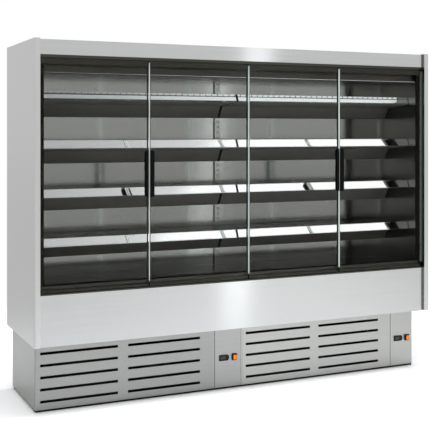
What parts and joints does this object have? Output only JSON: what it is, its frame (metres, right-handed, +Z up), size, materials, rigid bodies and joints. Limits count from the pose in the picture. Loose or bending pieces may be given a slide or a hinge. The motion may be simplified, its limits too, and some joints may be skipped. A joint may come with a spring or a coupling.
{
  "type": "glass door multideck fridge",
  "caption": "Tall wide stainless display fridge with hinged glass doors, open shelves inside and a slotted machine base with controls.",
  "frame": {"origin": "centre of the cabinet's bounding box, on the floor", "axes": "+X to the right along the row of doors, seen from the front; +Y to the back; +Z up"},
  "size_m": [2.564, 0.68, 2.026],
  "materials": {
    "satin_steel": "satin",
    "shelf_steel": "satin",
    "base_steel": "satin",
    "grey_paint": "satin",
    "dark_aluminium": "satin",
    "foam": "matte",
    "liner": "satin",
    "glass": "gloss",
    "black_plastic": "satin",
    "orange_plastic": "gloss",
    "nylon": "satin",
    "rubber": "matte",
    "bright_aluminium": "polished",
    "coil_aluminium": "satin",
    "black_paint": "satin",
    "copper": "satin"
  },
  "bodies": {
    "cabinet": {"base_frame": "grey_paint", "levelling_feet": "rubber", "toe_strip": "black_plastic", "plinth_sides": "base_steel", "rear_service_panel": "grey_paint", "grille_left": "base_steel", "grille_right": "base_steel", "control_panel_left": "base_steel", "control_panel_right": "base_steel", "controllers": "black_plastic", "control_boxes": "grey_paint", "switch_bezels": "black_plastic", "end_panel_left": "satin_steel", "end_panel_right": "satin_steel", "side_liners": "liner", "body_shell": "satin_steel", "body_foam": "foam", "top_fascia": "satin_steel", "lower_fascia": "satin_steel", "header_rail": "dark_aluminium", "sill_rail": "dark_aluminium", "door_jambs": "dark_aluminium", "pivot_bushes": "nylon", "ceiling_duct": "shelf_steel", "air_outlet": "black_plastic", "led_light": "bright_aluminium", "back_panels": "shelf_steel", "shelf_uprights": "shelf_steel", "shelf_1": "shelf_steel", "shelf_2": "shelf_steel", "shelf_3": "shelf_steel", "shelf_4": "shelf_steel", "shelf_brackets": "shelf_steel", "price_rails": "bright_aluminium", "deck_trays": "shelf_steel", "return_grille": "dark_aluminium", "evaporators": "coil_aluminium", "fan_plates": "grey_paint", "fan_motors": "black_paint", "condensers": "coil_aluminium", "compressors": "black_paint", "refrigerant_pipes": "copper"},
    "door_1": {"door_1_glass": "glass", "door_1_frame": "dark_aluminium", "door_1_handle": "black_plastic"},
    "door_2": {"door_2_glass": "glass", "door_2_frame": "dark_aluminium", "door_2_handle": "black_plastic"},
    "door_3": {"door_3_glass": "glass", "door_3_frame": "dark_aluminium", "door_3_handle": "black_plastic"},
    "door_4": {"door_4_glass": "glass", "door_4_frame": "dark_aluminium", "door_4_handle": "black_plastic"},
    "rocker_left": {"rocker_left": "orange_plastic"},
    "rocker_right": {"rocker_right": "orange_plastic"},
    "evaporator_fan_left": {"evaporator_fan_left": "black_plastic"},
    "evaporator_fan_right": {"evaporator_fan_right": "black_plastic"},
    "condenser_fan_left": {"condenser_fan_left": "black_plastic"},
    "condenser_fan_right": {"condenser_fan_right": "black_plastic"}
  },
  "joints": [
    {"name": "door_1_hinge", "type": "hinge", "parent": "cabinet", "child": "door_1", "pos_m": [-1.2355, -0.301, 1.292], "axis": [0, 0, -1], "range_deg": [0, 85]},
    {"name": "door_2_hinge", "type": "hinge", "parent": "cabinet", "child": "door_2", "pos_m": [-0.0145, -0.301, 1.292], "axis": [0, 0, 1], "range_deg": [0, 85]},
    {"name": "door_3_hinge", "type": "hinge", "parent": "cabinet", "child": "door_3", "pos_m": [0.0145, -0.301, 1.292], "axis": [0, 0, -1], "range_deg": [0, 85]},
    {"name": "door_4_hinge", "type": "hinge", "parent": "cabinet", "child": "door_4", "pos_m": [1.2355, -0.301, 1.292], "axis": [0, 0, 1], "range_deg": [0, 85]},
    {"name": "rocker_left_tilt", "type": "hinge", "parent": "cabinet", "child": "rocker_left", "pos_m": [-0.047, -0.215, 0.1855], "axis": [0, 0, 1], "range_deg": [0, 16]},
    {"name": "rocker_right_tilt", "type": "hinge", "parent": "cabinet", "child": "rocker_right", "pos_m": [1.203, -0.215, 0.1855], "axis": [0, 0, 1], "range_deg": [0, 16]},
    {"name": "evaporator_fan_left_spin", "type": "hinge", "parent": "cabinet", "child": "evaporator_fan_left", "pos_m": [-0.625, -0.06, 0.5325], "axis": [0, 1, 0], "continuous": true},
    {"name": "condenser_fan_left_spin", "type": "hinge", "parent": "cabinet", "child": "condenser_fan_left", "pos_m": [-0.985, -0.128, 0.195], "axis": [0, 1, 0], "continuous": true},
    {"name": "evaporator_fan_right_spin", "type": "hinge", "parent": "cabinet", "child": "evaporator_fan_right", "pos_m": [0.625, -0.06, 0.5325], "axis": [0, 1, 0], "continuous": true},
    {"name": "condenser_fan_right_spin", "type": "hinge", "parent": "cabinet", "child": "condenser_fan_right", "pos_m": [0.265, -0.128, 0.195], "axis": [0, 1, 0], "continuous": true}
  ]
}
